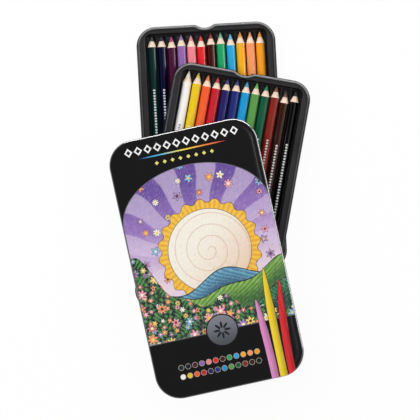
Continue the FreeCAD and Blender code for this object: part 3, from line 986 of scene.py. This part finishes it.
# The pan with its embossed floor and curled rim, and two tongues bent out of its hinge wall and rolled round
# the wire
def baseShape(shares):
    halfX, halfY = tin["lidHalfX"] - tin["baseInset"], tin["lidHalfY"] - tin["baseInset"]
    radius = tin["lidRadius"] - tin["baseInset"]
    low, high = tin["slot"]
    bend, run, roll = tin["footRound"], tin["footRun"], tin["lugRoll"]
    wall = [(90, bend), (low - bend,), (high - low,), (tin["rim"] - high,), (270, tin["rimCurl"])]
    skin = bentSkin(halfX - bend - run - tin["floorStep"], tin["floorRise"], 0,
                    tin["floorBends"] + [(run,)] + wall)
    points, faces = carriedRound(skin, halfX, halfY, radius, shares, tin["baseRings"])
    faces = withoutOpenings(points, faces, tin["lugHalf"], low, high)
    stem = halfX - tin["lugRoot"]
    tongue = bentSkin(stem, tin["hingeZ"] - roll, 0, [(tin["hingeX"] - stem,), (270, roll)])
    outward, upward = tongue[:, :1], tongue[:, 1:]
    across = np.linspace(-tin["lugHalf"], tin["lugHalf"], 7)
    lug = np.stack([-outward + 0 * across, -across + 0 * outward, upward + 0 * across], axis=-1).reshape(-1, 3)
    lugFaces = gridQuads(len(tongue), len(across), False)
    for y in (-tin["lugY"], tin["lugY"]):
        faces = np.concatenate([faces, lugFaces + len(points)])
        points = np.concatenate([points, lug + (0, y, 0)])
    return points, faces


# Black stoving enamel on tinplate: slightly cloudy, with a faint orange peel under a clear varnish
def enamelMaterial(name, printed):
    material, start, shader = newMaterial(name, Coat_Weight=1.0, Coat_Roughness=0.1, Coat_IOR=1.8)
    spot = objectMillimetres(start, centre=tuple(middleOf("tin_lid")[:2] * mm) + (0.0,))
    cloud = spot.noise(0.05, 3.0)
    ground = cloud.blend(seen(7, 7, 9), seen(11, 11, 13))
    if printed:
        x, y, z = spot.parts()
        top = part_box("tin_lid")[1].z / mm
        ground = (z > top - tin["printDepth"]).blend(ground, printOver(ground, x, y))
    feed(shader, Base_Color=ground)
    feed(shader, Roughness=0.15 + 0.06 * cloud)
    feed(shader, Normal=bump(start, spot.noise(0.9, 2.0), 0.004, 0.08))
    return material


# Lines drawn out along the tin
def drawnLines(start, spot, fine, long):
    return start.add("Mapping", links={"Vector": spot, "Scale": (fine, long, fine)}).noise(1.0, 3.0)


# Bare tinplate inside, with the fine lines of its rolling along the tin and a few dull stains
def tinplateMaterial(name):
    material, start, shader = newMaterial(name, Metallic=1.0)
    spot = objectMillimetres(start)
    rolled = drawnLines(start, spot, 2.4, 0.03)
    stain = spot.noise(0.04, 3.0)
    plate = rolled.ease(0.3, 0.7).blend(seen(122, 124, 126), seen(142, 143, 144))
    feed(shader, Base_Color=(stain.ease(0.45, 0.8) * 0.3).blend(plate, seen(112, 109, 103)))
    feed(shader, Roughness=0.38 + 0.16 * rolled)
    feed(shader, Normal=bump(start, rolled, 0.004, 0.4))
    return material


# Bright steel with drawing marks
def wireMaterial():
    material, start, shader = newMaterial("hingeWireSteel", Metallic=1.0)
    drawn = drawnLines(start, objectMillimetres(start), 3.0, 0.05)
    feed(shader, Base_Color=drawn.blend(seen(150, 152, 156), seen(196, 198, 200)))
    feed(shader, Roughness=0.28 + 0.2 * drawn)
    return material


def makeTin():
    shares = tinShares()
    middle = middleOf("tin_lid")
    middle[2] = middleOf("tin_base")[2]
    for half, (points, faces) in (("lid", lidShape(shares)), ("base", baseShape(shares))):
        node = "tin_" + half
        finishes = [enamelMaterial(half + "Enamel", half == "lid"), tinplateMaterial(half + "Tinplate")]
        shell = addPiece(node + "_shell", points + middle, faces.tolist(), node, [node], finishes)
        thicken(shell, tin[half + "Sheet"], 1)
    wire = frame["nodes"]["hinge_wire"]
    wire.data.materials.clear()
    wire.data.materials.append(wireMaterial())


makeTin()
print("tin done")


# Camera straight above, turned as the photo is: place in metres, turn in degrees, lens in millimetres
view = {"place": (-0.0126, -0.00674, 2.0), "turn": -12.344, "lens": 210.45}


def makeCamera():
    camera = bpy.data.objects.new("photoCamera", bpy.data.cameras.new("photoCamera"))
    camera.data.lens = view["lens"]
    camera.location = view["place"]
    camera.rotation_euler = (0.0, 0.0, math.radians(view["turn"]))
    bpy.context.collection.objects.link(camera)
    bpy.context.scene.camera = camera


# Soft lamps, each placed to the photo's right and top, in metres, and facing the middle of the object. The wash
# only lights colours, the strips along the top and right only glint on edges, and the softbox does both.
lamps = {
    "wash": {"right": -0.45, "top": 0.35, "height": 1.1, "wide": 1.3, "tall": 1.3, "watts": 12.8,
             "gloss": False},
    "softbox": {"right": 0.6, "top": 0.2, "height": 1.1, "wide": 1.8, "tall": 0.6, "watts": 4.6},
    "topStrip": {"right": 0.15, "top": 1.15, "height": 0.42, "wide": 1.6, "tall": 0.3, "watts": 45.0,
                 "colour": False},
    "rightStrip": {"right": 1.15, "top": 0.4, "height": 0.42, "wide": 0.9, "tall": 0.3, "watts": 13.0,
                   "colour": False},
}


def makeLamp(name, lamp):
    turn = math.radians(view["turn"])
    light = bpy.data.lights.new(name, "AREA")
    light.shape = "RECTANGLE"
    light.size = lamp["wide"]
    light.size_y = lamp["tall"]
    light.energy = lamp["watts"]
    holder = bpy.data.objects.new(name, light)
    x = lamp["right"] * math.cos(turn) - lamp["top"] * math.sin(turn)
    y = lamp["right"] * math.sin(turn) + lamp["top"] * math.cos(turn)
    holder.location = (x, y, lamp["height"])
    holder.rotation_euler = (-holder.location).to_track_quat("-Z", "Y").to_euler()
    holder.visible_camera = False
    holder.visible_glossy = lamp.get("gloss", True)
    holder.visible_diffuse = lamp.get("colour", True)
    bpy.context.collection.objects.link(holder)


room = {"horizon": 1.0, "zenith": 0.07, "dimFrom": 0.9, "floorHalf": 3.0, "paper": 0.92, "floorGlow": 0.95,
        "floorShine": 0.12}


def grey(level):
    return (level, level, level, 1.0)


# The room's light: bright round the horizon and dim overhead
def makeWorld():
    world = bpy.data.worlds.new("softRoom")
    bpy.context.scene.world = world
    world.use_nodes = True
    up = Socket(world.node_tree).add("TexCoord").parts()[2]
    shown = up.ease(0.0, room["dimFrom"]).blend(grey(room["horizon"]), grey(room["zenith"]))
    world.node_tree.links.new(shown.out, world.node_tree.nodes["Background"].inputs["Color"])


# White floor that keeps the shadow: to the camera it mostly shows plain white, in reflections mostly its paper
def makeFloor():
    half = room["floorHalf"]
    corners = [(-half, -half, 0), (half, -half, 0), (half, half, 0), (-half, half, 0)]
    mesh = bpy.data.meshes.new("floor")
    mesh.from_pydata(corners, [], [(0, 1, 2, 3)])
    material = bpy.data.materials.new("whiteFloor")
    material.use_nodes = True
    tree = material.node_tree
    tree.nodes.clear()
    start = Socket(tree)
    paper = start.add("BsdfDiffuse", links={"Color": grey(room["paper"])})
    glow = start.add("Emission", links={"Color": grey(1.0), "Strength": 1.0})
    outs = start.add("LightPath").out.node.outputs
    looked = Socket(tree, outs["Is Camera Ray"]).atLeast(Socket(tree, outs["Is Transmission Ray"]))
    mirrored = Socket(tree, outs["Is Glossy Ray"])
    shown = (looked * room["floorGlow"]).atLeast(mirrored * room["floorShine"])
    mixed = start.add("MixShader", links={0: shown, 1: paper, 2: glow})
    start.add("OutputMaterial", links={"Surface": mixed})
    mesh.materials.append(material)
    floor = bpy.data.objects.new("floor", mesh)
    bpy.context.collection.objects.link(floor)


makeCamera()
for lampName, lampValues in lamps.items():
    makeLamp(lampName, lampValues)
makeWorld()
makeFloor()
bpy.context.scene.view_settings.view_transform = "Standard"
print("camera, lamps and floor done")
